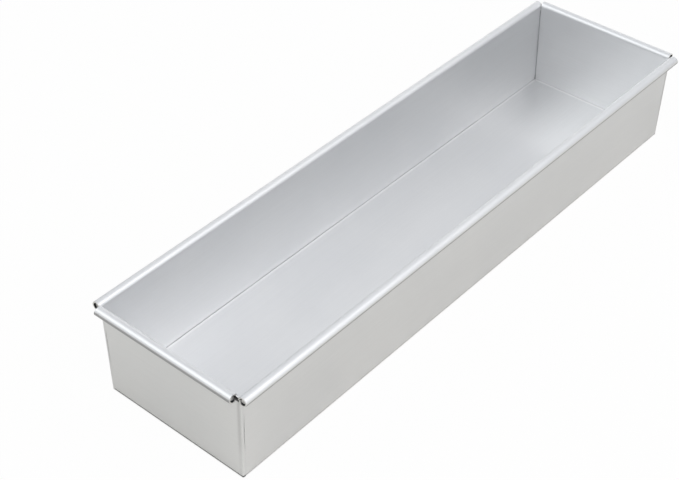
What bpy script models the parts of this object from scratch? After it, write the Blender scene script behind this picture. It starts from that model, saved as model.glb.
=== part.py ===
"""Rectangular cheesecake pan.

Four sheet panels with rolled rims meet as the vanes of a pinwheel do: one end of each is turned round the
corner, and its edge butts flush against the next panel. A wire stiffens each roll, and a loose base plate
lies on a narrow ledge that the panels turn in at the foot.

Lengths are in metres. The origin is the middle of the pan's underside, +X runs along the pan to its far end,
+Y to its rear side, and +Z is up.
"""

import math
from typing import NamedTuple

import bmesh
import bpy
from mathutils import Matrix, Vector

# The inside of the pan
OPENING_LENGTH = 0.400
OPENING_WIDTH = 0.100
INNER_DEPTH = 0.060
END_DRAFT = 0.0003
SIDE_DRAFT = 0.0014

# The sheet that the panels are made of, and how tightly it is bent
SHEET = 0.0008
FOOT_BEND_RADIUS = 0.0005
CORNER_BEND_RADIUS = 0.0006
LIP_RUN = 0.0002
LIP_FOOT_CLEARANCE = 0.0002
RELIEF_SLIT = 0.0003
LEDGE_WIDTH = 0.008

# The rolled rims, and where they end beside the corners of the opening
WIRE_DIAMETER = 0.0030
WIRE_CLEARANCE = 0.0006
WIRE_SET_BACK = 0.0025
ROLL_MOUTH = 0.0004
END_ROLL_SHORT = 0.0003
NEAR_ROLL_SHORT_AT_TURN = 0.0020
FRONT_ROLL_PAST = 0.0017
REAR_ROLL_PAST = 0.0013

# The loose base plate
BASE_THICKNESS = 0.0010
BASE_CLEARANCE = 0.0005
BASE_CORNER_RADIUS = 0.0012
BASE_EDGE_RADIUS = 0.0003

# Between pieces that touch
TOUCH_GAP = 0.0003

# How close two places are when they are the same place
SAME_PLACE = 0.000001

# Facets
FOOT_BEND_STEPS = 3
CORNER_BEND_STEPS = 4
ROLL_STEPS = 34
WIRE_ROUNDNESS = 6
BASE_CORNER_STEPS = 4
BASE_EDGE_STEPS = 2
SHARP_ANGLE = math.radians(35)

# Worked out from the sizes above
HALF_LENGTH = OPENING_LENGTH / 2
HALF_WIDTH = OPENING_WIDTH / 2
ROLL_RADIUS = WIRE_DIAMETER / 2 + WIRE_CLEARANCE + SHEET
BASE_BOTTOM = SHEET + TOUCH_GAP
RIM_TOP = BASE_BOTTOM + BASE_THICKNESS + INNER_DEPTH
ROLL_HEIGHT = RIM_TOP - ROLL_RADIUS
SHOULDER_FOOT = RIM_TOP - 2 * ROLL_RADIUS
LIP_TOP = SHOULDER_FOOT - TOUCH_GAP
WIRE_HEIGHT = ROLL_HEIGHT - WIRE_CLEARANCE + TOUCH_GAP
WALL_FOOT = SHEET + FOOT_BEND_RADIUS


class Panel(NamedTuple):
    """One wall: how it sits in the pan, how far it and its neighbours lean in, and where its roll is cut."""

    name: str
    turn: float
    distance: float
    half_span: float
    own_draft: float
    neighbour_draft: float
    shoulder_past: float
    roll_past_at_butt: float
    roll_past_at_turn: float


def end_panel(name, turn, short_at_turn):
    """A short wall across the pan's end. Its roll stops short of both corners."""
    return Panel(name, turn, HALF_LENGTH, HALF_WIDTH, END_DRAFT, SIDE_DRAFT,
                 -TOUCH_GAP, -END_ROLL_SHORT, -short_at_turn)


def side_panel(name, turn, past):
    """A long wall along the pan's side. Its roll runs a little past both corners."""
    return Panel(name, turn, HALF_WIDTH, HALF_LENGTH, SIDE_DRAFT, END_DRAFT, SHEET, past, past)


# In a panel's own frame +X points out of the pan, and +Y along the wall to the end that is turned.
PANELS = (
    end_panel("near_end", math.pi, NEAR_ROLL_SHORT_AT_TURN),
    end_panel("far_end", 0.0, END_ROLL_SHORT),
    side_panel("front_side", -math.pi / 2, FRONT_ROLL_PAST),
    side_panel("rear_side", math.pi / 2, REAR_ROLL_PAST),
)


def lean(height):
    """The share of the draft that a wall has at a height: all of it at the bottom, none from the roll up."""
    return max(0.0, (ROLL_HEIGHT - height) / ROLL_HEIGHT)


def arc(centre, radius, start, sweep, steps):
    """Points on an arc in the panel's section, each as (outward, height)."""
    angles = [start + sweep * step / steps for step in range(steps + 1)]
    return [(centre[0] + radius * math.cos(angle), centre[1] + radius * math.sin(angle)) for angle in angles]


def foot_section():
    """The ledge and the bend up from it, on the sheet's inner side."""
    bend = arc((-FOOT_BEND_RADIUS, WALL_FOOT), FOOT_BEND_RADIUS, -math.pi / 2, math.pi / 2, FOOT_BEND_STEPS)
    return [(-LEDGE_WIDTH, SHEET)] + bend


def roll_section():
    """The roll, from the top of the wall over and under to its mouth, on the side that shows."""
    tuck = math.asin((ROLL_RADIUS - SHEET - ROLL_MOUTH) / ROLL_RADIUS)
    sweep = math.pi * 3 / 2 + tuck
    return arc((ROLL_RADIUS, ROLL_HEIGHT), ROLL_RADIUS, math.pi, -sweep, ROLL_STEPS)


def same(one, other):
    """Whether only rounding sets two coordinates apart."""
    return abs(one - other) < SAME_PLACE


def distinct(values):
    """The values in order, without any that only rounding sets apart."""
    kept = []
    for value in sorted(values):
        if not kept or not same(value, kept[-1]):
            kept.append(value)
    return kept


def sweep_section(sheet, section, stations):
    """Sweep the section along the wall through the stations, as a grid of faces."""
    corners = [sheet.verts.new((outward, stations[0], height)) for outward, height in section]
    edges = [sheet.edges.new(pair) for pair in zip(corners, corners[1:])]
    for here, there in zip(stations, stations[1:]):
        swept = bmesh.ops.extrude_edge_only(sheet, edges=edges)["geom"]
        corners = {item for item in swept if isinstance(item, bmesh.types.BMVert)}
        bmesh.ops.translate(sheet, verts=list(corners), vec=(0, there - here, 0))
        drawn = [item for item in swept if isinstance(item, bmesh.types.BMEdge)]
        edges = [edge for edge in drawn if corners.issuperset(edge.verts)]


def on_roll(place):
    """Whether a place on the panel's section belongs to the roll."""
    return place.z > ROLL_HEIGHT or place.x > SHEET


def trim(sheet, belongs, start, end):
    """Remove the faces of one part of the section that lie before the start or past the end."""
    spare = []
    for face in sheet.faces:
        middle = face.calc_center_median()
        if belongs(middle) and not start < middle.y < end:
            spare.append(face)
    bmesh.ops.delete(sheet, geom=spare, context="FACES")


def trim_wall(sheet, lowest, highest, start, end):
    """Remove the faces between two heights of the wall that lie before the start or past the end."""
    trim(sheet, lambda place: lowest < place.z < highest and not on_roll(place), start, end)


def mitre(sheet, half_span, side):
    """Cut the ledge and its bend at 45 degrees, half a gap short of the diagonal of the corner."""
    foot = [face for face in sheet.faces if face.calc_center_median().z < WALL_FOOT]
    geometry = set(foot)
    for face in foot:
        geometry.update(face.edges)
        geometry.update(face.verts)
    normal = Vector((-1, side, 0)).normalized()
    corner = Vector((0, side * half_span, 0)) - normal * TOUCH_GAP / 2
    bmesh.ops.bisect_plane(sheet, geom=list(geometry), plane_co=corner, plane_no=normal, clear_outer=True)


def turn_end(sheet, bend_start):
    """Turn the wall's end round the corner from foot to roll, and run it on to a short lip."""
    upright = []
    for edge in sheet.edges:
        heights = sorted(vert.co.z for vert in edge.verts)
        at_end = all(same(vert.co.y, bend_start) and same(vert.co.x, 0) for vert in edge.verts)
        if at_end and same(heights[0], WALL_FOOT) and same(heights[1], LIP_TOP):
            upright.append(edge)
    wall_foot = min(upright[0].verts, key=lambda vert: vert.co.z)
    lip_foot = sheet.verts.new((0, bend_start, LIP_FOOT_CLEARANCE))
    upright.append(sheet.edges.new((lip_foot, wall_foot)))
    bent = bmesh.ops.spin(
        sheet, geom=upright, cent=(-CORNER_BEND_RADIUS, bend_start, 0), axis=(0, 0, 1), dvec=(0, 0, 0),
        angle=math.pi / 2, steps=CORNER_BEND_STEPS, use_merge=False, use_duplicate=False)["geom_last"]
    last = [item for item in bent if isinstance(item, bmesh.types.BMEdge)]
    run = bmesh.ops.extrude_edge_only(sheet, edges=last)["geom"]
    verts = [item for item in run if isinstance(item, bmesh.types.BMVert)]
    bmesh.ops.translate(sheet, verts=verts, vec=(-LIP_RUN, 0, 0))


def lean_in(sheet, panel):
    """Lean the wall in towards its foot, and bring its ends in with the walls that they meet."""
    for vert in sheet.verts:
        share = lean(vert.co.z)
        vert.co.x -= panel.own_draft * share
        vert.co.y -= math.copysign(panel.neighbour_draft * share, vert.co.y)


def panel_sheet(panel):
    """The panel's inner side as an open surface, in its own frame."""
    half_span = panel.half_span
    bend_start = half_span - CORNER_BEND_RADIUS
    butt = -(bend_start - LIP_RUN - TOUCH_GAP)
    foot_end = bend_start - RELIEF_SLIT
    roll_start = -(half_span + panel.roll_past_at_butt)
    roll_end = half_span + panel.roll_past_at_turn
    shoulder = half_span + panel.shoulder_past
    sheet = bmesh.new()
    section = foot_section() + [(0, LIP_TOP), (0, SHOULDER_FOOT)] + roll_section()
    stations = (butt, foot_end, bend_start, -shoulder, shoulder, roll_start, roll_end)
    sweep_section(sheet, section, distinct(stations))
    trim(sheet, on_roll, roll_start, roll_end)
    trim_wall(sheet, SHOULDER_FOOT, ROLL_HEIGHT, -shoulder, shoulder)
    trim_wall(sheet, WALL_FOOT, SHOULDER_FOOT, butt, bend_start)
    trim_wall(sheet, 0, WALL_FOOT, butt, foot_end)
    mitre(sheet, half_span, 1)
    mitre(sheet, half_span, -1)
    turn_end(sheet, bend_start)
    lean_in(sheet, panel)
    bmesh.ops.recalc_face_normals(sheet, faces=sheet.faces)
    return sheet


def finish(name, colour, roughness):
    """A metal finish."""
    material = bpy.data.materials.new(name)
    material.use_nodes = True
    surface = material.node_tree.nodes["Principled BSDF"]
    surface.inputs["Base Color"].default_value = (*colour, 1)
    surface.inputs["Metallic"].default_value = 1
    surface.inputs["Roughness"].default_value = roughness
    material.diffuse_color = (*colour, 1)
    return material


def anodised_aluminium(name):
    """Matt, faintly warm silver."""
    return finish(name, (0.62, 0.62, 0.61), 0.45)


def plain_steel(name):
    """Drawn wire, a little darker and brighter polished than the sheet."""
    return finish(name, (0.50, 0.50, 0.51), 0.30)


def add_object(name, data, material, collection, matrix):
    """Put a piece in the pan's collection, in its place."""
    data.materials.append(material)
    piece = bpy.data.objects.new(name, data)
    piece.matrix_world = matrix
    collection.objects.link(piece)
    return piece


def make_panel(panel, collection, place):
    """A wall panel: its open surface, thickened to the sheet."""
    name = panel.name + "_wall"
    sheet = panel_sheet(panel)
    data = bpy.data.meshes.new(name)
    sheet.to_mesh(data)
    sheet.free()
    data.shade_smooth()
    data.set_sharp_from_angle(angle=SHARP_ANGLE)
    piece = add_object(name, data, anodised_aluminium(name + "_finish"), collection, place)
    thickness = piece.modifiers.new("Sheet", "SOLIDIFY")
    thickness.thickness = SHEET
    thickness.offset = -1
    thickness.use_even_offset = True
    return piece


def make_wire(panel, collection, place):
    """The straight wire that lies in a panel's roll, a little shorter than the roll at both ends."""
    name = panel.name.replace("_end", "").replace("_side", "") + "_rim_wire"
    data = bpy.data.curves.new(name, "CURVE")
    data.dimensions = "3D"
    data.bevel_depth = WIRE_DIAMETER / 2
    data.bevel_resolution = WIRE_ROUNDNESS
    data.use_fill_caps = True
    line = data.splines.new("POLY")
    line.points.add(1)
    start = -(panel.half_span + panel.roll_past_at_butt - WIRE_SET_BACK)
    end = panel.half_span + panel.roll_past_at_turn - WIRE_SET_BACK
    line.points[0].co = (ROLL_RADIUS, start, WIRE_HEIGHT, 1)
    line.points[1].co = (ROLL_RADIUS, end, WIRE_HEIGHT, 1)
    return add_object(name, data, plain_steel(name + "_finish"), collection, place)


def make_base(collection):
    """The flat plate that lies on the ledge, with rounded corners and broken edges."""
    middle = BASE_BOTTOM + BASE_THICKNESS / 2
    draft_share = lean(BASE_BOTTOM)
    length = 2 * (HALF_LENGTH - END_DRAFT * draft_share - BASE_CLEARANCE)
    width = 2 * (HALF_WIDTH - SIDE_DRAFT * draft_share - BASE_CLEARANCE)
    plate = bmesh.new()
    bmesh.ops.create_cube(plate, size=1, matrix=Matrix.Diagonal((length, width, BASE_THICKNESS, 1)))
    upright = [edge for edge in plate.edges if same(edge.verts[0].co.x, edge.verts[1].co.x)
               and same(edge.verts[0].co.y, edge.verts[1].co.y)]
    bmesh.ops.bevel(plate, geom=upright, offset=BASE_CORNER_RADIUS, segments=BASE_CORNER_STEPS, profile=0.5,
                    affect="EDGES")
    name = "loose_base"
    data = bpy.data.meshes.new(name)
    plate.to_mesh(data)
    plate.free()
    data.shade_smooth()
    data.set_sharp_from_angle(angle=SHARP_ANGLE)
    place = Matrix.Translation((0, 0, middle))
    piece = add_object(name, data, anodised_aluminium(name + "_finish"), collection, place)
    edges = piece.modifiers.new("Broken edges", "BEVEL")
    edges.width = BASE_EDGE_RADIUS
    edges.segments = BASE_EDGE_STEPS
    edges.limit_method = "ANGLE"
    edges.angle_limit = SHARP_ANGLE
    return piece


def build():
    """Build the whole pan."""
    for stale in list(bpy.data.objects):
        bpy.data.objects.remove(stale)
    collection = bpy.data.collections.new("rectangular_cheesecake_pan")
    bpy.context.scene.collection.children.link(collection)
    for panel in PANELS:
        place = Matrix.Rotation(panel.turn, 4, "Z") @ Matrix.Translation((panel.distance, 0, 0))
        make_panel(panel, collection, place)
        make_wire(panel, collection, place)
    make_base(collection)


build()
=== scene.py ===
"""Looks of a rectangular cheesecake pan with rolled rims and a loose base.

The four walls are modelled here as the sheet-metal worker makes them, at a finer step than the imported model:
a flat sheet, its rim rolled round a wire, its foot turned in to a ledge and one end turned round the corner.
The base plate, the wires, the finishes, the studio and the camera follow. Lengths are in metres, and the frame
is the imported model's: +X to the far end, +Y to the rear side, +Z up, with the origin under the pan's middle.
"""

import logging
import math
from dataclasses import dataclass
from enum import Enum
from typing import Callable

import bmesh
import bpy
from mathutils import Matrix, Vector


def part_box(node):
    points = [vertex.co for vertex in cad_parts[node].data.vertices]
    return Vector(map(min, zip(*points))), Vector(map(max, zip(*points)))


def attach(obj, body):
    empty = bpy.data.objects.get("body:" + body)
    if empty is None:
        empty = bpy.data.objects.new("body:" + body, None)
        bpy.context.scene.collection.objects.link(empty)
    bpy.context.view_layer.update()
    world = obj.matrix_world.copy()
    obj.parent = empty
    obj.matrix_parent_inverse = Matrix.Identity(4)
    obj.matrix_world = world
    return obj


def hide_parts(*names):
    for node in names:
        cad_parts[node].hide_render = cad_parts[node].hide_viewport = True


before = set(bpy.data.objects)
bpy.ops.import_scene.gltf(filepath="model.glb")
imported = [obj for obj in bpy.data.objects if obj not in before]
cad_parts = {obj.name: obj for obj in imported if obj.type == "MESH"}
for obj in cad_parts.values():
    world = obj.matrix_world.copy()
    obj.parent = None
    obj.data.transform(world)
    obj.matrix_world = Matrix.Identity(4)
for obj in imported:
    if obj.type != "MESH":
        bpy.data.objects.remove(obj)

LOG = logging.getLogger("cheesecake_pan")
MILLIMETRE = 0.001
QUARTER_TURN = math.pi / 2
SAME_PLACE = 0.003 * MILLIMETRE
SHEET = 0.8 * MILLIMETRE
SOFT_TURN = math.radians(32)

Colour = tuple[float, float, float]
Band = tuple[float, float]  # where a change begins and ends
Noise = tuple[float, ...]  # features per metre, octaves, strength of the finer ones
Setting = str | int | float | bool


class Body(Enum):
    """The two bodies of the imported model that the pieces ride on."""

    PAN = "pan"
    BASE = "base"


class Slot(Enum):
    """The record's material slots."""

    WALLS = "anodised_walls"
    BASE = "anodised_base"
    WIRE = "steel_wire"


class Direction(Enum):
    """The way that a sheet was rolled at the mill, as the stretch of its streaks along X, Y and Z."""

    ALONG_X = (1.0, 60.0, 60.0)
    ALONG_Y = (60.0, 1.0, 60.0)


class Side(Enum):
    """The pan's four walls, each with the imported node's stem and the turn from its own frame to the pan's."""

    NEAR_END = ("near_end", math.pi)
    FAR_END = ("far_end", 0.0)
    FRONT = ("front_side", -QUARTER_TURN)
    REAR = ("rear_side", QUARTER_TURN)

    @property
    def node(self) -> str:
        """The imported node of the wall."""
        return self.value[0] + "_wall"

    @property
    def wire_node(self) -> str:
        """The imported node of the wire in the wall's rim."""
        return self.value[0].split("_")[0] + "_rim_wire"

    @property
    def turn(self) -> float:
        """The turn about Z from the wall's own frame, in which +X points out of the pan."""
        return self.value[1]

    @property
    def is_end(self) -> bool:
        """Whether the wall closes an end of the pan."""
        return self in (Side.NEAR_END, Side.FAR_END)


class Signal:
    """A value, colour or vector on its way through a shader's nodes."""

    def __init__(self, graph: "Graph", socket: bpy.types.NodeSocket) -> None:
        """Keep the graph and the output socket that the signal leaves."""
        self.graph = graph
        self.socket = socket

    def _value(self, operation: str, *operands: "Signal | float") -> "Signal":
        """The result of a Math node's operation on operands, in order."""
        return self.graph.node("ShaderNodeMath", {"operation": operation}, dict(enumerate(operands))).out()

    def __add__(self, other: "Signal | float") -> "Signal":
        """Sum."""
        return self._value("ADD", self, other)

    __radd__ = __add__

    def __sub__(self, other: "Signal | float") -> "Signal":
        """Difference."""
        return self._value("SUBTRACT", self, other)

    def __rsub__(self, other: float) -> "Signal":
        """Difference, reflected."""
        return self._value("SUBTRACT", other, self)

    def __mul__(self, other: "Signal | float") -> "Signal":
        """Product."""
        return self._value("MULTIPLY", self, other)

    __rmul__ = __mul__

    def __truediv__(self, other: "Signal | float") -> "Signal":
        """Quotient."""
        return self._value("DIVIDE", self, other)

    def larger(self, other: "Signal | float") -> "Signal":
        """The larger of two values."""
        return self._value("MAXIMUM", self, other)

    def size(self) -> "Signal":
        """The value without its sign."""
        return self._value("ABSOLUTE", self)

    def stretched(self, factors: tuple[float, float, float]) -> "Signal":
        """A vector with each of its parts scaled by a factor of its own."""
        settings = {"operation": "MULTIPLY"}
        return self.graph.node("ShaderNodeVectorMath", settings, {0: self, 1: factors}).out()

    def ranged(self, low: float, high: float, to_low: float, to_high: float) -> "Signal":
        """Map the range from low to high smoothly to the range from to_low to to_high."""
        inputs = {"Value": self, "From Min": low, "From Max": high, "To Min": to_low, "To Max": to_high}
        return self.graph.node("ShaderNodeMapRange", {"interpolation_type": "SMOOTHSTEP"}, inputs).out()


class Step:
    """One node of a graph, from which signals leave."""

    def __init__(self, graph: "Graph", node: bpy.types.Node) -> None:
        """Keep the node and the graph that holds it."""
        self.graph = graph
        self.node = node

    def out(self, name: str | int = 0) -> Signal:
        """The signal that leaves by a socket, given by its name, identifier or place."""
        return Signal(self.graph, self.graph.find(self.node.outputs, name))


class Graph:
    """The node tree of a material or a world, emptied and built again."""

    def __init__(self, tree: bpy.types.NodeTree) -> None:
        """Keep the node tree and empty it."""
        self.tree = tree
        tree.nodes.clear()

    @staticmethod
    def find(sockets: bpy.types.bpy_prop_collection, name: str | int) -> bpy.types.NodeSocket:
        """The socket of an identifier, name or place among a node's inputs or outputs."""
        matches = [socket for socket in sockets if socket.identifier == name]
        return matches[0] if matches else sockets[name]

    def node(self, kind: str, settings: dict[str, Setting] | None = None,
             inputs: dict[str | int, "Signal | float | tuple"] | None = None) -> Step:
        """Add a node.

        Args:
            kind: The node's type.
            settings: Its settings, set first.
            inputs: The value or signal for each socket, by the socket's name, identifier or place.

        Returns:
            The new node.
        """
        node = self.tree.nodes.new(kind)
        for key, value in (settings or {}).items():
            setattr(node, key, value)
        for key, value in (inputs or {}).items():
            socket = self.find(node.inputs, key)
            if isinstance(value, Signal):
                self.tree.links.new(value.socket, socket)
            else:
                socket.default_value = value
        return Step(self, node)

    def place(self) -> Signal:
        """The place on the piece, in its own coordinates."""
        return self.node("ShaderNodeTexCoord").out("Object")

    def parts(self, place: Signal) -> tuple[Signal, Signal, Signal]:
        """A place's X, Y and Z."""
        split = self.node("ShaderNodeSeparateXYZ", {}, {0: place})
        return split.out("X"), split.out("Y"), split.out("Z")

    def noise(self, place: Signal, scale: float, detail: float, roughness: float = 0.5) -> Signal:
        """The value, about 0.5, of a noise with so many features per metre and octaves of detail."""
        inputs = {"Vector": place, "Scale": scale, "Detail": detail, "Roughness": roughness}
        return self.node("ShaderNodeTexNoise", {}, inputs).out("Fac")

    def mixed(self, factor: "Signal | float", one: "Signal | Colour", other: "Signal | Colour") -> Signal:
        """Mix two colours.

        Args:
            factor: How much of the other there is.
            one: The colour at 0.
            other: The colour at 1.

        Returns:
            The mixed colour.
        """
        inputs = {"Factor_Float": factor}
        for socket, value in (("A_Color", one), ("B_Color", other)):
            inputs[socket] = value if isinstance(value, Signal) else (*value, 1.0)
        return self.node("ShaderNodeMix", {"data_type": "RGBA"}, inputs).out("Result_Color")

    def bump(self, height: Signal, depth: float, strength: float) -> Signal:
        """The normal of small relief, from a height of 0 to 1 and the depth that 1 stands for."""
        inputs = {"Height": height, "Distance": depth, "Strength": strength}
        return self.node("ShaderNodeBump", {}, inputs).out()

    def surface(self, inputs: dict[str | int, "Signal | float | tuple"]) -> None:
        """Finish a material with a Principled shader, from the value or signal for each of its sockets."""
        shader = self.node("ShaderNodeBsdfPrincipled", {}, inputs)
        self.node("ShaderNodeOutputMaterial", {}, {"Surface": shader.out()})


def new_material(name: str) -> tuple[bpy.types.Material, Graph]:
    """Make an empty material.

    Args:
        name: The material's name.

    Returns:
        The material and its graph.
    """
    material = bpy.data.materials.new(name)
    material.use_nodes = True
    return material, Graph(material.node_tree)


@dataclass(frozen=True)
class SheetMarks:
    """What is laid over a sheet's tone and roughness: painted shade or a painted highlight, and roughness from
    forming.
    """

    def roughened(self, graph: Graph, place: Signal, roughness: Signal) -> Signal:
        """The sheet's roughness, here as it came."""
        return roughness


@dataclass(frozen=True)
class WallShadeMarks(SheetMarks):
    """Painted shade on a wall: a dark line down each inner corner, a soft darker strip beside a turned corner, a
    darker band under the rolled rim and a dark contact shadow along the foot; and more roughness on the roll.

    The bands that end in radii, sheets and shares count in the roll's radius, the sheet and the wall's height, and
    under_roll_shade_top and under_roll_shade_fade in the roll's radius. strip_shade_hand, in square metres, tells
    the turned corners from the others by the sign of X times Y. corner_shade_foot is how many times stronger the
    corner's painted shade is at the wall's foot.
    """

    half_length: float
    half_width: float
    lean_height: float
    end_draft: float
    side_draft: float
    on_ends: bool
    sheet: float = SHEET
    inner_face: Band = (-0.6 * SHEET, -0.3 * SHEET)
    outer_face: Band = (-0.75 * SHEET, -0.6 * SHEET)
    below_rim: Band = (3 * MILLIMETRE, 2 * MILLIMETRE)
    # Painted shade down each inner corner, stronger towards the foot:
    corner_shade_edge: Band = (0.11 * MILLIMETRE, 0.77 * MILLIMETRE)
    corner_shade_share: float = 0.60
    corner_shade_foot: float = 1.6
    corner_shade_foot_height: Band = (3.5 * MILLIMETRE, 7 * MILLIMETRE)
    corner_shade_tone: Colour = (0.30, 0.305, 0.315)
    # Painted shade in a soft strip beside a turned corner, on the outer face:
    strip_shade_hand: Band = (0.0, 0.001)
    strip_shade_rise: Band = (-0.6 * MILLIMETRE, 1.5 * MILLIMETRE)
    strip_shade_drop: Band = (1.5 * MILLIMETRE, 3.6 * MILLIMETRE)
    strip_shade_shares: Band = (0.1, 0.6)
    strip_shade_foot: float = 0.2
    strip_shade_share: float = 0.42
    strip_shade_tone: Colour = (0.42, 0.42, 0.42)
    roll_radius: float = 2.9 * MILLIMETRE
    # Painted shade under the rolled rim, reaching higher on the ends; film_tone is its tone:
    under_roll_shade_sheets: Band = (1.2, 2.0)
    under_roll_shade_top: float = 0.48
    side_under_roll_shade_top: float = 0.12
    under_roll_shade_fade: float = 0.35
    under_roll_shade_share: float = 0.92
    film_tone: Colour = (0.36, 0.36, 0.37)
    # Painted contact shadow along the foot, fainter on the sides:
    foot_shade_height: Band = (1.12 * MILLIMETRE, 1.4 * MILLIMETRE)
    side_foot_shade: float = 0.22
    foot_shade_tone: Colour = (0.10, 0.10, 0.105)
    stretched_radii: Band = (-0.2, 0.3)
    roll_roughness: float = 0.10

    def roughened(self, graph: Graph, place: Signal, roughness: Signal) -> Signal:
        """The sheet's roughness, raised where the rolling stretched it."""
        start, end = (self.lean_height + radii * self.roll_radius for radii in self.stretched_radii)
        return roughness + graph.parts(place)[2].ranged(start, end, 0.0, self.roll_roughness)

    def _lay_edges(self, graph: Graph, place: Signal, tone: Signal) -> Signal:
        """Lay the painted shade under the rolled rim and the painted contact shadow along the foot.

        On the ends the shade reaches further up the roll, and the foot's shadow is darker than on the sides.

        Args:
            graph: The material's graph.
            place: The place on the wall.
            tone: The sheet's tone.

        Returns:
            The tone with its painted shade under the rim and along the foot.
        """
        along, across, height = graph.parts(place)
        own, inner = (along.size(), self.half_length) if self.on_ends else (across.size(), self.half_width)
        foot_shade, top = (1.0, self.under_roll_shade_top) if self.on_ends else (self.side_foot_shade, self.side_under_roll_shade_top)
        # Painted shade under the rolled rim.
        beyond = own.ranged(*(inner + sheets * self.sheet for sheets in self.under_roll_shade_sheets), 0.0, 1.0)
        drop = height.ranged(self.lean_height + (top - self.under_roll_shade_fade) * self.roll_radius,
                             self.lean_height + top * self.roll_radius, 1.0, 0.0)
        under_roll_shaded = graph.mixed(beyond * drop * self.under_roll_shade_share, tone, self.film_tone)
        # Painted contact shadow along the foot, on the outer face.
        low = height.ranged(*self.foot_shade_height, foot_shade, 0.0)
        outer = own.ranged(inner - self.side_draft, inner - self.side_draft + self.sheet / 2, 0.0, 1.0)
        return graph.mixed(low * outer, under_roll_shaded, self.foot_shade_tone)

    def lay(self, graph: Graph, place: Signal, tone: Signal) -> Signal:
        """Lay the painted shade over the sheet's tone.

        Args:
            graph: The material's graph.
            place: The place on the wall.
            tone: The sheet's tone.

        Returns:
            The tone with its painted shade.
        """
        along, across, height = graph.parts(place)
        fall = 1.0 - height / self.lean_height
        to_end = (self.half_length - fall * self.end_draft) - along.size()
        to_side = (self.half_width - fall * self.side_draft) - across.size()
        inside = to_end.ranged(*self.inner_face, 0.0, 1.0) * to_side.ranged(*self.inner_face, 0.0, 1.0)
        under_rim = height.ranged(*(self.lean_height - depth for depth in self.below_rim), 1.0, 0.0)
        # Painted shade down the inner corner, deeper towards the wall's foot.
        corner_shade = (to_end + to_side).ranged(*self.corner_shade_edge, self.corner_shade_share, 0.0)
        deeper = height.ranged(*self.corner_shade_foot_height, self.corner_shade_foot, 1.0)
        corner_shaded = graph.mixed(corner_shade * deeper * inside * under_rim, tone, self.corner_shade_tone)
        own, other = (to_end, to_side) if self.on_ends else (to_side, to_end)
        # Painted shade in a soft strip beside the turned corner, on the outer face, fainter towards the foot.
        hand = (along * across * (1.0 if self.on_ends else -1.0)).ranged(*self.strip_shade_hand, 0.0, 1.0)
        from_edge = other + self.sheet
        rise = from_edge.ranged(*self.strip_shade_rise, 0.0, 1.0)
        drop = from_edge.ranged(*self.strip_shade_drop, 1.0, 0.0)
        outside = own.ranged(*self.outer_face, 1.0, 0.0)
        strip_strength = height.ranged(*(share * self.lean_height for share in self.strip_shade_shares),
                             self.strip_shade_foot * self.strip_shade_share, self.strip_shade_share)
        strip_shaded = graph.mixed(rise * drop * outside * hand * strip_strength * under_rim, corner_shaded, self.strip_shade_tone)
        return self._lay_edges(graph, place, strip_shaded)


@dataclass(frozen=True)
class PaintedEdgeHighlight(SheetMarks):
    """A painted highlight: the narrow brighter band along a plate's rounded edge."""

    half_length: float
    half_width: float
    band: Band = (-2.1 * MILLIMETRE, -0.45 * MILLIMETRE)
    share: float = 0.72
    tone: Colour = (0.96, 0.96, 0.96)

    def lay(self, graph: Graph, place: Signal, tone: Signal) -> Signal:
        """Lay the painted highlight over the sheet's tone.

        Args:
            graph: The material's graph.
            place: The place on the plate.
            tone: The sheet's tone.

        Returns:
            The tone with its painted highlight along the edge.
        """
        along, across, _ = graph.parts(place)
        beyond = (along.size() - self.half_length).larger(across.size() - self.half_width)
        # Painted highlight along the plate's edge.
        return graph.mixed(beyond.ranged(*self.band, 0.0, self.share), tone, self.tone)


@dataclass(frozen=True)
class AnodisedSheet:
    """Matt silver anodised aluminium sheet, with a fine frosted grain, mill streaks and faint clouds of tone."""

    name: str
    rolled: Direction
    marks: WallShadeMarks | PaintedEdgeHighlight
    tone: Colour = (0.790, 0.793, 0.796)
    roughness: float = 0.43
    cloud_noise: Noise = (14.0, 3.0)
    cloud_band: Band = (0.35, 0.65)
    cloud_tone: Colour = (0.770, 0.775, 0.781)
    streak_noise: Noise = (28.0, 4.0, 0.6)
    streak_band: Band = (0.35, 0.65)
    streak_share: float = 0.060
    streak_tone: Colour = (0.60, 0.60, 0.60)
    streak_roughness: float = 0.10
    grain_noise: Noise = (3600.0, 2.0, 0.6)
    grain_band: Band = (0.3, 0.7)
    grain_share: float = 0.050
    grain_tone: Colour = (0.90, 0.90, 0.90)
    grain_roughness: float = 0.08
    grain_depth: float = 0.010 * MILLIMETRE
    grain_relief: float = 0.5

    def build(self) -> bpy.types.Material:
        """Make the material.

        Returns:
            The material.
        """
        material, graph = new_material(self.name)
        place = graph.place()
        grain = graph.noise(place, *self.grain_noise)
        streaks = graph.noise(place.stretched(self.rolled.value), *self.streak_noise)
        clouds = graph.noise(place, *self.cloud_noise)
        tone = graph.mixed(clouds.ranged(*self.cloud_band, 0.0, 1.0), self.tone, self.cloud_tone)
        streaked = graph.mixed(streaks.ranged(*self.streak_band, 0.0, self.streak_share), tone, self.streak_tone)
        grained = graph.mixed(grain.ranged(*self.grain_band, 0.0, self.grain_share), streaked, self.grain_tone)
        roughness = self.roughness + (streaks - 0.5) * self.streak_roughness + (grain - 0.5) * self.grain_roughness
        # The marks lay painted shade or a painted highlight over the tone, and may raise the roughness.
        graph.surface({
            "Base Color": self.marks.lay(graph, place, grained),
            "Metallic": 1.0,
            "Roughness": self.marks.roughened(graph, place, roughness),
            "Normal": graph.bump(grain, self.grain_depth, self.grain_relief),
        })
        return material


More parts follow.
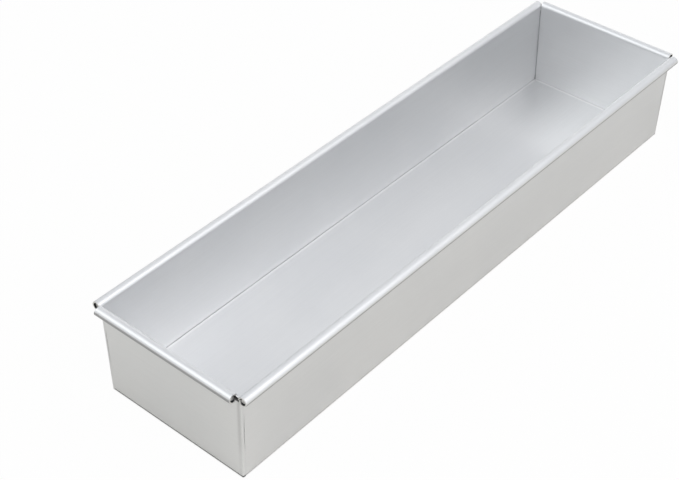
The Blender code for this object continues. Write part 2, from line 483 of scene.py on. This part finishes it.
@dataclass(frozen=True)
class DrawnMetal:
    """Unpolished metal, with fine lines from the tool that drew it and a film of another tone in places."""

    name: str
    tone: Colour
    film_tone: Colour
    roughness: float = 0.46
    film_noise: Noise = (90.0, 3.0)
    film_band: Band = (0.45, 0.7)
    line_noise: Noise = (2600.0, 2.0)
    line_roughness: float = 0.15
    line_depth: float = 0.01 * MILLIMETRE
    line_relief: float = 0.4

    def build(self) -> bpy.types.Material:
        """Make the material.

        Returns:
            The material.
        """
        material, graph = new_material(self.name)
        place = graph.place()
        film = graph.noise(place, *self.film_noise)
        lines = graph.noise(place, *self.line_noise)
        graph.surface({
            "Base Color": graph.mixed(film.ranged(*self.film_band, 0.0, 1.0), self.tone, self.film_tone),
            "Metallic": 1.0,
            "Roughness": self.roughness + (lines - 0.5) * self.line_roughness,
            "Normal": graph.bump(lines, self.line_depth, self.line_relief),
        })
        return material


@dataclass(frozen=True)
class CutEdge(DrawnMetal):
    """The bare, bright edge that a shear leaves, with its burrs for lines."""

    film_tone: Colour = (0.62, 0.62, 0.61)
    roughness: float = 0.33
    film_noise: Noise = (5200.0, 2.0)
    film_band: Band = (0.4, 0.7)
    line_noise: Noise = (5200.0, 2.0)
    line_roughness: float = 0.2
    line_depth: float = 0.02 * MILLIMETRE


class Workpiece:
    """A mesh on the bench: it is selected by place and then shaped by the operator that follows."""

    def __init__(self, name: str) -> None:
        """Take the primitive that was just added, and name it."""
        self.piece = bpy.context.object
        self.piece.name = self.piece.data.name = name

    def __enter__(self) -> "Workpiece":
        """Open the mesh for editing."""
        bpy.ops.object.mode_set(mode="EDIT")
        return self

    def __exit__(self, *problem: object) -> None:
        """Close the mesh."""
        bpy.ops.object.mode_set(mode="OBJECT")

    def _select(self, mode: str, wanted: Callable[[object], bool]) -> None:
        """Select elements of one kind and nothing else.

        Args:
            mode: VERT, EDGE or FACE.
            wanted: Whether an element is selected.
        """
        bpy.ops.mesh.select_mode(type=mode)
        bpy.ops.mesh.select_all(action="DESELECT")
        mesh = bmesh.from_edit_mesh(self.piece.data)
        for element in {"VERT": mesh.verts, "EDGE": mesh.edges, "FACE": mesh.faces}[mode]:
            if wanted(element):
                element.select_set(True)
        mesh.select_flush_mode()
        bmesh.update_edit_mesh(self.piece.data)

    def select_verts(self, wanted: Callable[[Vector], bool]) -> None:
        """Select the vertices whose place is wanted."""
        self._select("VERT", lambda vert: wanted(vert.co))

    def select_edges(self, wanted: Callable[[Vector, Vector], bool]) -> None:
        """Select the edges whose two ends are wanted."""
        self._select("EDGE", lambda edge: wanted(edge.verts[0].co, edge.verts[1].co))

    def select_faces(self, wanted: Callable[[Vector], bool]) -> None:
        """Select the faces whose middle is wanted."""
        self._select("FACE", lambda face: wanted(face.calc_center_median()))

    def move(self, step: tuple[float, float, float]) -> None:
        """Move what is selected."""
        bpy.ops.transform.translate(value=step)

    def extrude_edges(self, step: tuple[float, float, float]) -> None:
        """Draw faces out of the selected edges."""
        bpy.ops.mesh.extrude_edges_move(TRANSFORM_OT_translate={"value": step})

    def extrude_verts(self, step: tuple[float, float, float]) -> None:
        """Draw edges out of the selected vertices."""
        bpy.ops.mesh.extrude_vertices_move(TRANSFORM_OT_translate={"value": step})

    def spin(self, centre: tuple[float, float, float], axis: tuple[float, float, float], angle: float,
             steps: int) -> None:
        """Sweep the selected edges round the axis through a centre, right-handed, in equal steps."""
        bpy.ops.mesh.spin(steps=steps, angle=-angle, center=centre, axis=axis)

    def cut(self, point: Vector, normal: Vector, clear: bool = False) -> None:
        """Cut the selected faces by a plane and, where asked, clear away what lies on its normal's side."""
        bpy.ops.mesh.bisect(plane_co=point, plane_no=normal, clear_outer=clear, threshold=SAME_PLACE / 10)

    def delete_faces(self) -> None:
        """Remove the selected faces."""
        bpy.ops.mesh.delete(type="FACE")

    def round_edges(self, radius: float, steps: int) -> None:
        """Round the selected edges."""
        bpy.ops.mesh.bevel(offset=radius, segments=steps, affect="EDGES")

    def dress(self, slot: int) -> None:
        """Give the selected faces the finish of a slot."""
        self.piece.active_material_index = slot
        bpy.ops.object.material_slot_assign()

    def face_towards(self, direction: Vector, asked: Callable[[Vector], bool]) -> None:
        """Turn all faces to one side of the sheet.

        Args:
            direction: The way that the asked faces should look.
            asked: Whether a face is asked, from its middle.
        """
        bpy.ops.mesh.select_all(action="SELECT")
        bpy.ops.mesh.remove_doubles(threshold=SAME_PLACE / 10)
        bpy.ops.mesh.normals_make_consistent(inside=False)
        mesh = bmesh.from_edit_mesh(self.piece.data)
        mesh.normal_update()
        turned = sum(face.normal.dot(direction) * face.calc_area() for face in mesh.faces
                     if asked(face.calc_center_median()))
        if turned < 0:
            bpy.ops.mesh.flip_normals()


def same(one: float, other: float) -> bool:
    """Whether two measures are the same but for rounding."""
    return abs(one - other) < SAME_PLACE


def clear_selection() -> None:
    """Deselect everything, so that the next primitive is alone."""
    bpy.ops.object.select_all(action="DESELECT")


def apply_place(piece: bpy.types.Object) -> None:
    """Put a piece's place, turn and scale into its mesh.

    Args:
        piece: The piece.
    """
    clear_selection()
    piece.select_set(True)
    bpy.context.view_layer.objects.active = piece
    bpy.ops.object.transform_apply(location=True, rotation=True, scale=True)


def apply_modifier(piece: bpy.types.Object, kind: str, settings: dict[str, Setting]) -> None:
    """Add a modifier and apply it.

    Args:
        piece: The active piece.
        kind: The modifier's type.
        settings: Its settings.
    """
    modifier = piece.modifiers.new(kind.title(), kind)
    for key, value in settings.items():
        setattr(modifier, key, value)
    bpy.ops.object.modifier_apply(modifier=modifier.name)


def smooth(piece: bpy.types.Object, angle: float, flat: bool = False) -> None:
    """Shade a piece smooth, except where it turns sharply.

    Args:
        piece: The active piece.
        angle: The sharpest turn that is shaded smooth.
        flat: Whether wide faces stay flat in shade, with all the turn in the narrow ones beside them.
    """
    piece.select_set(True)
    bpy.ops.object.shade_smooth_by_angle(angle=angle)
    if flat:
        apply_modifier(piece, "WEIGHTED_NORMAL", {"mode": "FACE_AREA", "weight": 50, "keep_sharp": True})


@dataclass(frozen=True)
class PanSizes:
    """The pan's leading sizes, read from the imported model."""

    half_length: float
    half_width: float
    rim_top: float
    roll_radius: float

    @classmethod
    def read(cls) -> "PanSizes":
        """Read the sizes.

        Returns:
            The sizes. The wire's middle gives the middle of the roll, and the wall's box its outer side.
        """
        wall_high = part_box("far_end_wall")[1]
        end_axis = sum(corner.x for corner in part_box("far_rim_wire")) / 2
        side_axis = sum(corner.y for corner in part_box("rear_rim_wire")) / 2
        radius = wall_high.x - end_axis
        return cls(
            half_length=end_axis - radius,
            half_width=side_axis - radius,
            rim_top=wall_high.z,
            roll_radius=radius,
        )


@dataclass(frozen=True)
class RollCut:
    """How far past the opening's corner a roll is cut, at its top and at its underside."""

    top: float
    underside: float


@dataclass
class WallPanel:
    """One wall of 0.8 mm sheet: its rolled rim, its foot turned in to a ledge, and the edge round its corner."""

    side: Side
    sizes: PanSizes
    butt_cut: RollCut
    turn_cut: RollCut
    own_draft: float
    neighbour_draft: float
    shoulder_past: float
    sheet: float = SHEET
    foot_bend: float = 0.12 * MILLIMETRE
    corner_bend: float = 0.15 * MILLIMETRE
    lip_run: float = 1.05 * MILLIMETRE
    lip_foot: float = 0.30 * MILLIMETRE
    relief: float = 0.10 * MILLIMETRE
    seam: float = 0.03 * MILLIMETRE
    seam_spring: float = 0.26 * MILLIMETRE
    spring_levels: tuple[float, ...] = (18.0 * MILLIMETRE, 27.0 * MILLIMETRE, 38.0 * MILLIMETRE, 46.0 * MILLIMETRE)
    bend_line: float = 0.2 * MILLIMETRE
    ledge: float = 8.0 * MILLIMETRE
    mouth: float = 0.4 * MILLIMETRE
    bore_sheets: float = 0.75
    back_sheets: float = 0.1
    edge_round: float = 0.06 * MILLIMETRE
    edge_turn: float = math.radians(50)
    edge_steps: int = 2
    roll_steps: int = 72
    foot_steps: int = 6
    corner_steps: int = 8

    @property
    def half_span(self) -> float:
        """Half the opening's size along the wall."""
        return self.sizes.half_width if self.side.is_end else self.sizes.half_length

    @property
    def distance(self) -> float:
        """How far the wall's inner face is from the pan's middle, at the rim."""
        return self.sizes.half_length if self.side.is_end else self.sizes.half_width

    @property
    def roll_height(self) -> float:
        """The height of the roll's middle, where the wall ends and the roll begins."""
        return self.sizes.rim_top - self.sizes.roll_radius

    @property
    def shoulder_foot(self) -> float:
        """The height of the roll's underside, above which the wall reaches past the corner."""
        return self.sizes.rim_top - 2 * self.sizes.roll_radius

    @property
    def wall_foot(self) -> float:
        """The height at which the foot's bend begins."""
        return self.sheet + self.foot_bend

    @property
    def lip_top(self) -> float:
        """The height at which the turned end stops, just under the roll."""
        return self.shoulder_foot - self.seam

    @property
    def levels(self) -> tuple[float, ...]:
        """The heights at which the wall is cut across."""
        return (*self.spring_levels, self.lip_top, self.shoulder_foot, self.roll_height - self.bend_line)

    @property
    def bend_start(self) -> float:
        """Where along the wall its end begins to turn round the corner."""
        return self.half_span - self.corner_bend

    def _on_roll(self, place: Vector) -> bool:
        """Whether a place belongs to the roll."""
        return place.z > self.roll_height + SAME_PLACE or place.x > self.sheet

    def _in_bore(self, place: Vector) -> bool:
        """Whether a face is on the inside of the roll, or on the strip of wall behind it.

        Args:
            place: The face's middle.

        Returns:
            Whether it is.
        """
        radius, height = self.sizes.roll_radius, self.roll_height
        if math.hypot(place.x - radius, place.z - height) < radius - self.bore_sheets * self.sheet:
            return True
        return abs(place.x - self.sheet) < self.back_sheets * self.sheet and self.shoulder_foot < place.z < height

    def _roll_rim(self, work: Workpiece) -> None:
        """Roll the top edge over and under, to its mouth beside the wall.

        Args:
            work: The flat wall.
        """
        radius = self.sizes.roll_radius
        height = self.roll_height
        work.select_edges(lambda a, b: min(a.z, b.z) > height - SAME_PLACE)
        tuck = math.asin((radius - self.sheet - self.mouth) / radius)
        work.spin((radius, 0, height), (0, 1, 0), 3 * QUARTER_TURN + tuck, self.roll_steps)

    def _turn_foot(self, work: Workpiece) -> None:
        """Turn the bottom edge in and run it on to the ledge's edge.

        Args:
            work: The wall with its roll.
        """
        foot = self.wall_foot
        work.select_edges(lambda a, b: max(a.z, b.z) < foot + SAME_PLACE)
        work.spin((-self.foot_bend, 0, foot), (0, 1, 0), QUARTER_TURN, self.foot_steps)
        work.select_edges(lambda a, b: max(a.z, b.z) < self.sheet + SAME_PLACE)
        work.extrude_edges((self.foot_bend - self.ledge, 0, 0))

    def _cut_outline(self, work: Workpiece) -> None:
        """Cut the blank to its outline: the butt, the relief slits, the shoulders and the mitres.

        Args:
            work: The swept blank, longer than the panel at both ends.
        """
        butt = -(self.bend_start - self.lip_run - self.seam)
        foot_end = self.bend_start - self.relief
        shoulder = self.half_span + self.shoulder_past
        for station in (butt, foot_end, self.bend_start, -shoulder, shoulder):
            work.select_faces(lambda middle: not self._on_roll(middle))
            work.cut(Vector((0, station, 0)), Vector((0, 1, 0)))
        for level in self.levels:
            work.select_faces(lambda middle: not self._on_roll(middle))
            work.cut(Vector((0, 0, level)), Vector((0, 0, 1)))
        spans = (
            (0.0, self.wall_foot, butt, foot_end),
            (self.wall_foot, self.shoulder_foot, butt, self.bend_start),
            (self.shoulder_foot, self.roll_height, -shoulder, shoulder),
        )
        for lowest, highest, start, end in spans:
            work.select_faces(lambda middle: not self._on_roll(middle) and lowest < middle.z < highest
                              and not start < middle.y < end)
            work.delete_faces()
        for hand in (1, -1):
            normal = Vector((-1, hand, 0)).normalized()
            corner = Vector((0, hand * self.half_span, 0)) - normal * self.seam / 2
            work.select_faces(lambda middle: middle.z < self.wall_foot)
            work.cut(corner, normal, clear=True)

    def _cut_roll(self, work: Workpiece) -> None:
        """Cut both ends of the roll, each a little out of square.

        Args:
            work: The blank with its full-length roll.
        """
        fall = 2 * self.sizes.roll_radius
        for hand, end in ((-1, self.butt_cut), (1, self.turn_cut)):
            top = Vector((0, hand * (self.half_span + end.top), self.sizes.rim_top))
            normal = Vector((0, hand * fall, end.underside - end.top)).normalized()
            work.select_faces(self._on_roll)
            work.cut(top, normal)
            work.select_faces(lambda middle: self._on_roll(middle) and (middle - top).dot(normal) > 0)
            work.delete_faces()

    def _turn_corner(self, work: Workpiece) -> None:
        """Turn the wall's end round the corner, from the foot to the roll, and run it on to its short lip.

        Between the two middle spring levels the lip stands back a little from the wall that it meets.

        Args:
            work: The trimmed panel.
        """
        start = self.bend_start
        foot = self.wall_foot
        work.select_verts(lambda place: same(place.x, 0) and same(place.y, start) and same(place.z, foot))
        work.extrude_verts((0, 0, self.lip_foot - foot))
        top = self.lip_top + SAME_PLACE
        work.select_edges(lambda a, b: all(same(end.x, 0) and same(end.y, start) and end.z < top
                                           for end in (a, b)))
        work.spin((-self.corner_bend, start, 0), (0, 0, 1), QUARTER_TURN, self.corner_steps)
        edge = self.half_span
        work.select_edges(lambda a, b: all(same(end.x, -self.corner_bend) and same(end.y, edge) and end.z < top
                                           for end in (a, b)))
        work.extrude_edges((-self.lip_run, 0, 0))
        tip = -self.corner_bend - self.lip_run
        low, high = self.spring_levels[1:3]
        work.select_verts(lambda place: same(place.x, tip) and same(place.y, edge)
                          and low - SAME_PLACE < place.z < high + SAME_PLACE)
        work.move((self.seam_spring, 0, 0))

    def _lean_in(self, work: Workpiece) -> None:
        """Lean the wall in towards its foot, and bring its ends in with the walls that they meet.

        Args:
            work: The trimmed panel with its turned corner.
        """
        bands = ((-MILLIMETRE, self.wall_foot), *((level, level) for level in self.levels))
        for low, high in bands:
            share = (self.roll_height - high) / self.roll_height
            for hand in (-1, 1):
                work.select_verts(lambda place: not self._on_roll(place) and place.y * hand > 0
                                  and low - SAME_PLACE < place.z < high + SAME_PLACE)
                work.move((-self.own_draft * share, -hand * self.neighbour_draft * share, 0))

    def build(self, finishes: list[bpy.types.Material]) -> bpy.types.Object:
        """Model the panel and dress it.

        Args:
            finishes: The finish of the sheet, of its cut edges and of the roll's inside, which is near-black for
                painted shade.

        Returns:
            The finished wall.
        """
        clear_selection()
        reach = self.half_span + 2 * self.sizes.roll_radius
        rise = self.roll_height - self.wall_foot
        middle = self.wall_foot + rise / 2
        bpy.ops.mesh.primitive_plane_add(size=1, location=(0, 0, middle), rotation=(0, -QUARTER_TURN, 0))
        work = Workpiece(self.side.node.replace("wall", "panel"))
        work.piece.scale = (rise, 2 * reach, 1)
        apply_place(work.piece)
        with work:
            self._roll_rim(work)
            self._turn_foot(work)
            self._cut_outline(work)
            self._cut_roll(work)
            self._turn_corner(work)
            self._lean_in(work)
            work.face_towards(Vector((-1, 0, 0)), lambda middle: self.wall_foot < middle.z < self.shoulder_foot
                              and abs(middle.y) < self.bend_start and not self._on_roll(middle))
        for finish in finishes:
            work.piece.data.materials.append(finish)
        apply_modifier(work.piece, "SOLIDIFY", {"thickness": self.sheet, "offset": -1.0, "material_offset_rim": 1})
        apply_modifier(work.piece, "BEVEL", {"width": self.edge_round, "segments": self.edge_steps,
                                             "limit_method": "ANGLE", "angle_limit": self.edge_turn})
        with work:
            # The roll's inside and the wall behind it take the near-black finish: painted shade for the hollow.
            work.select_faces(self._in_bore)
            work.dress(len(finishes) - 1)
        work.piece.rotation_euler = (0, 0, self.side.turn)
        work.piece.location = Matrix.Rotation(self.side.turn, 3, "Z") @ Vector((self.distance, 0, 0))
        apply_place(work.piece)
        smooth(work.piece, SOFT_TURN, flat=True)
        return work.piece


@dataclass
class RimWire:
    """The wire that a rim is rolled round, cropped square at both ends with a small broken edge."""

    side: Side
    reach_out: float = 1.7 * MILLIMETRE
    edge_break: float = 0.18 * MILLIMETRE
    edge_steps: int = 3
    face_rings: int = 2
    ring_share: float = 0.125
    soft_turn: float = math.radians(40)
    around: int = 40

    def build(self, finishes: list[bpy.types.Material]) -> bpy.types.Object:
        """Model the wire and dress it.

        Args:
            finishes: The finish of the wire and of its cropped ends.

        Returns:
            The finished wire.
        """
        low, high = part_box(self.side.wire_node)
        middle = (low + high) / 2
        extent = high - low
        length, diameter = max(extent) + 2 * self.reach_out, min(extent)
        turn = (QUARTER_TURN, 0, 0) if self.side.is_end else (0, QUARTER_TURN, 0)
        clear_selection()
        bpy.ops.mesh.primitive_cylinder_add(vertices=self.around, radius=diameter / 2, depth=length,
                                            location=middle, rotation=turn)
        work = Workpiece(self.side.wire_node.replace("rim_wire", "stiffening_wire"))
        apply_place(work.piece)
        axis = 1 if self.side.is_end else 0
        for finish in finishes:
            work.piece.data.materials.append(finish)
        with work:
            half = length / 2 - SAME_PLACE
            work.select_faces(lambda place: abs(place[axis] - middle[axis]) > half)
            for _ring in range(self.face_rings):
                bpy.ops.mesh.inset(thickness=self.ring_share * diameter)
            work.select_edges(lambda a, b: all(abs(end[axis] - middle[axis]) > half and
                                               self._from_axis(end - middle, axis) > diameter / 2 - SAME_PLACE
                                               for end in (a, b)))
            work.round_edges(self.edge_break, self.edge_steps)
            work.select_faces(lambda place: abs(place[axis] - middle[axis]) > half)
            work.dress(len(finishes) - 1)
        smooth(work.piece, self.soft_turn)
        return work.piece

    @staticmethod
    def _from_axis(offset: Vector, axis: int) -> float:
        """How far an offset reaches out from an axis."""
        return math.hypot(*(part for place, part in enumerate(offset) if place != axis))


@dataclass
class LooseBase:
    """The flat plate that lies on the ledge, with small round corners and a rolled-over upper edge."""

    reach_out: float = 0.41 * MILLIMETRE
    corner_radius: float = 1.0 * MILLIMETRE
    corner_steps: int = 8
    upper_round: float = 0.30 * MILLIMETRE
    upper_steps: int = 6
    lower_round: float = 0.15 * MILLIMETRE
    lower_steps: int = 3

    def build(self, finishes: list[bpy.types.Material]) -> bpy.types.Object:
        """Model the plate and dress it.

        Args:
            finishes: The plate's finish.

        Returns:
            The finished plate.
        """
        low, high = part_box("loose_base")
        spread = Vector((self.reach_out, self.reach_out, 0))
        low, high = low - spread, high + spread
        clear_selection()
        bpy.ops.mesh.primitive_cube_add(size=1, location=(low + high) / 2)
        work = Workpiece("lift_out_base")
        work.piece.scale = high - low
        apply_place(work.piece)
        for finish in finishes:
            work.piece.data.materials.append(finish)
        with work:
            work.select_edges(lambda a, b: abs(a.z - b.z) > SAME_PLACE)
            work.round_edges(self.corner_radius, self.corner_steps)
            work.select_edges(lambda a, b: min(a.z, b.z) > high.z - SAME_PLACE)
            work.round_edges(self.upper_round, self.upper_steps)
            work.select_edges(lambda a, b: max(a.z, b.z) < low.z + SAME_PLACE)
            work.round_edges(self.lower_round, self.lower_steps)
        smooth(work.piece, SOFT_TURN, flat=True)
        return work.piece


@dataclass
class Pan:
    """The whole pan: four wall panels with their wires, and the loose base."""

    sizes: PanSizes
    end_draft: float = 0.3 * MILLIMETRE
    side_draft: float = 1.4 * MILLIMETRE
    sheet: float = SHEET
    seam: float = 0.3 * MILLIMETRE

    def panels(self) -> list[WallPanel]:
        """The four walls, each with the cuts at its butt and its turned end.

        Returns:
            The wall panels.
        """
        square_short = RollCut(-0.3 * MILLIMETRE, -0.3 * MILLIMETRE)
        square_long = RollCut(1.3 * MILLIMETRE, 1.3 * MILLIMETRE)
        cuts = {
            Side.NEAR_END: (RollCut(-0.7 * MILLIMETRE, 0.4 * MILLIMETRE),
                            RollCut(-2.0 * MILLIMETRE, -2.0 * MILLIMETRE)),
            Side.FAR_END: (square_short, square_short),
            Side.FRONT: (RollCut(1.7 * MILLIMETRE, 1.7 * MILLIMETRE), RollCut(1.5 * MILLIMETRE, 2.5 * MILLIMETRE)),
            Side.REAR: (square_long, square_long),
        }
        end_lean = (self.end_draft, self.side_draft, -self.seam)
        side_lean = (self.side_draft, self.end_draft, self.sheet)
        return [WallPanel(side, self.sizes, *pair, *(end_lean if side.is_end else side_lean))
                for side, pair in cuts.items()]

    def build(self) -> None:
        """Model every piece, dress it, and hand it to the frame."""
        edge = CutEdge("cut_sheet_edge", (0.80, 0.80, 0.79)).build()
        sizes = self.sizes
        corners = (sizes.half_length, sizes.half_width, sizes.rim_top - sizes.roll_radius,
                   self.end_draft, self.side_draft)
        finishes = {
            True: AnodisedSheet("anodised_end_sheet", Direction.ALONG_Y, WallShadeMarks(*corners, True)).build(),
            False: AnodisedSheet("anodised_side_sheet", Direction.ALONG_X, WallShadeMarks(*corners, False)).build(),
        }
        # The roll's inside is near-black: painted shade for the hollow of the roll.
        bore_shade = DrawnMetal("roll_inside_painted_shade", (0.11, 0.11, 0.115), (0.07, 0.07, 0.07)).build()
        for panel in self.panels():
            wall = panel.build([finishes[panel.side.is_end], edge, bore_shade])
            self._hand_over(wall, Body.PAN, panel.side.node, Slot.WALLS)
        # Real steel wire, with its tone darkened to paint the shade inside the bore.
        wire_finishes = [
            DrawnMetal("steel_wire_darkened_for_bore_shade", (0.16, 0.16, 0.165), (0.09, 0.09, 0.095)).build(),
            CutEdge("cropped_wire_end", (0.62, 0.62, 0.62)).build(),
        ]
        for side in Side:
            wire = RimWire(side).build(wire_finishes)
            self._hand_over(wire, Body.PAN, side.wire_node, Slot.WIRE)
        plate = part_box("loose_base")[1]
        # The base's edge gets a painted highlight.
        base_finish = AnodisedSheet("anodised_base_sheet", Direction.ALONG_X, PaintedEdgeHighlight(plate.x, plate.y))
        base = LooseBase().build([base_finish.build()])
        self._hand_over(base, Body.BASE, "loose_base", Slot.BASE)

    @staticmethod
    def _hand_over(piece: bpy.types.Object, body: Body, node: str, slot: Slot) -> None:
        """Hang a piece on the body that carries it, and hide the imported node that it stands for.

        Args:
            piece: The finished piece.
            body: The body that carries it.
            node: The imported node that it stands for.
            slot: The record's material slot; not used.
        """
        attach(piece, body.value)
        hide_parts(node)
        LOG.info("%s: %d faces, rides on %s", piece.name, len(piece.data.polygons), body.value)


@dataclass(frozen=True)
class SoftLamp:
    """A large soft lamp, aimed at the pan."""

    name: str
    place: tuple[float, float, float]
    width: float
    height: float
    watts: float
    tint: Colour

    def build(self) -> None:
        """Hang the lamp and aim it at the pan's middle."""
        data = bpy.data.lights.new(self.name, "AREA")
        data.shape = "RECTANGLE"
        data.size = self.width
        data.size_y = self.height
        data.energy = self.watts
        data.color = self.tint
        lamp = bpy.data.objects.new(self.name, data)
        lamp.location = self.place
        lamp.rotation_mode = "QUATERNION"
        lamp.rotation_quaternion = (-Vector(self.place)).to_track_quat("-Z", "Y")
        lamp.visible_camera = False
        bpy.context.scene.collection.objects.link(lamp)


@dataclass(frozen=True)
class Studio:
    """A pale floor, a white surrounding and soft lamps."""

    floor_size: float = 9.0
    floor_drop: float = 0.02 * MILLIMETRE
    floor_tone: Colour = (0.682, 0.666, 0.628)
    surrounding: Colour = (0.365, 0.386, 0.416)
    floor_reflected: Colour = (1.0, 0.975, 0.92)
    camera_lift: float = 0.97
    glossy_lift: float = 0.07
    world_lift: float = 0.10
    contact_reach: float = 0.5 * MILLIMETRE
    contact_samples: int = 8
    lamps: tuple[SoftLamp, ...] = (
        SoftLamp("left_softbox", (-1.93, 1.115, 2.007), 2.46, 2.55, 31.5, (0.985, 1.0, 1.0)),
        SoftLamp("near_fill", (-2.227, -1.286, 1.545), 2.89, 1.17, 6.0, (0.99, 0.985, 0.985)),
        SoftLamp("front_softbox", (0.0, -1.763, 2.427), 2.20, 1.50, 32.5, (0.99, 0.985, 1.0)),
        SoftLamp("front_fill", (0.0, -2.80, 1.075), 3.19, 2.30, 29.0, (0.99, 0.985, 1.0)),
        SoftLamp("far_strip", (2.573, 1.486, 0.45), 3.42, 0.86, 13.4, (1.0, 0.98, 0.965)),
        SoftLamp("far_softbox", (1.763, 0.0, 2.427), 4.20, 1.27, 14.2, (1.0, 0.99, 0.985)),
        SoftLamp("rear_fill", (0.0, 2.364, 1.847), 2.80, 1.70, 8.2, (1.0, 0.995, 0.995)),
    )

    @staticmethod
    def _seen_share(graph: Graph, camera: float, glossy: float) -> Signal:
        """How much of the plain white a ray sees.

        Args:
            graph: The graph of the floor or the world.
            camera: The share for the camera.
            glossy: The share for reflections and for what is seen through glass.

        Returns:
            The share, 0 for light that only falls on the object.
        """
        path = graph.node("ShaderNodeLightPath")
        mirrored = path.out("Is Glossy Ray").larger(path.out("Is Transmission Ray"))
        return (path.out("Is Camera Ray") * camera).larger(mirrored * glossy)

    def _build_floor(self) -> None:
        """Lay the floor, which shows white and keeps the pan's shadow."""
        clear_selection()
        bpy.ops.mesh.primitive_plane_add(size=self.floor_size, location=(0, 0, -self.floor_drop))
        floor = bpy.context.object
        floor.name = "studio_floor"
        material, graph = new_material("pale_floor")
        lit = graph.node("ShaderNodeBsdfDiffuse", {}, {"Color": (*self.floor_tone, 1.0)})
        camera_ray = graph.node("ShaderNodeLightPath").out("Is Camera Ray")
        glow = graph.mixed(camera_ray, self.floor_reflected, (1.0, 1.0, 1.0))
        white = graph.node("ShaderNodeEmission", {}, {"Color": glow, "Strength": 1.0})
        openness = graph.node("ShaderNodeAmbientOcclusion", {"samples": self.contact_samples},
                              {"Distance": self.contact_reach}).out("AO")
        share = self._seen_share(graph, self.camera_lift, self.glossy_lift) * openness
        floor_look = graph.node("ShaderNodeMixShader", {}, {0: share, 1: lit.out(), 2: white.out()})
        graph.node("ShaderNodeOutputMaterial", {}, {"Surface": floor_look.out()})
        floor.data.materials.append(material)

    def _build_surrounding(self) -> None:
        """Light the world evenly, and show it white."""
        world = bpy.data.worlds.new("white_studio")
        world.use_nodes = True
        bpy.context.scene.world = world
        graph = Graph(world.node_tree)
        seen = self._seen_share(graph, 1.0, self.world_lift)
        colour = graph.mixed(seen, self.surrounding, (1.0, 1.0, 1.0))
        background = graph.node("ShaderNodeBackground", {}, {"Color": colour, "Strength": 1.0})
        graph.node("ShaderNodeOutputWorld", {}, {"Surface": background.out()})

    def build(self) -> None:
        """Set up the studio."""
        self._build_floor()
        self._build_surrounding()
        for lamp in self.lamps:
            lamp.build()
        bpy.context.scene.view_settings.view_transform = "Standard"
        LOG.info("studio: %d lamps", len(self.lamps))


@dataclass(frozen=True)
class PhotoCamera:
    """The camera, at the photograph's place and angle."""

    place: tuple[float, float, float] = (-0.55827, -0.42081, 0.58825)
    azimuth: float = math.radians(49.39)
    elevation: float = math.radians(39.83)
    roll: float = math.radians(-0.20)
    image_width: int = 679
    focal_pixels: float = 1496.0
    sensor_width: float = 36.0
    nearest: float = 10 * MILLIMETRE

    def build(self) -> None:
        """Set up the camera and make it the scene's."""
        level = math.cos(self.elevation)
        ahead = Vector((math.sin(self.azimuth) * level, math.cos(self.azimuth) * level, -math.sin(self.elevation)))
        right = Vector((math.cos(self.azimuth), -math.sin(self.azimuth), 0))
        up = right.cross(ahead)
        rolled_right = right * math.cos(self.roll) - up * math.sin(self.roll)
        rolled_up = right * math.sin(self.roll) + up * math.cos(self.roll)
        data = bpy.data.cameras.new("photo_camera")
        data.sensor_width = self.sensor_width
        data.lens = self.focal_pixels * self.sensor_width / self.image_width
        data.clip_start = self.nearest
        camera = bpy.data.objects.new("photo_camera", data)
        camera.matrix_world = Matrix.Translation(self.place) @ Matrix(
            (rolled_right, rolled_up, -ahead)).transposed().to_4x4()
        bpy.context.scene.collection.objects.link(camera)
        bpy.context.scene.camera = camera
        LOG.info("camera: %.1f mm lens", data.lens)


def main() -> None:
    """Build the camera, the studio and the pan."""
    logging.basicConfig(level=logging.INFO, format="%(name)s: %(message)s")
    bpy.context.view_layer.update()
    PhotoCamera().build()
    Studio().build()
    Pan(PanSizes.read()).build()


if __name__ == "__main__":
    main()
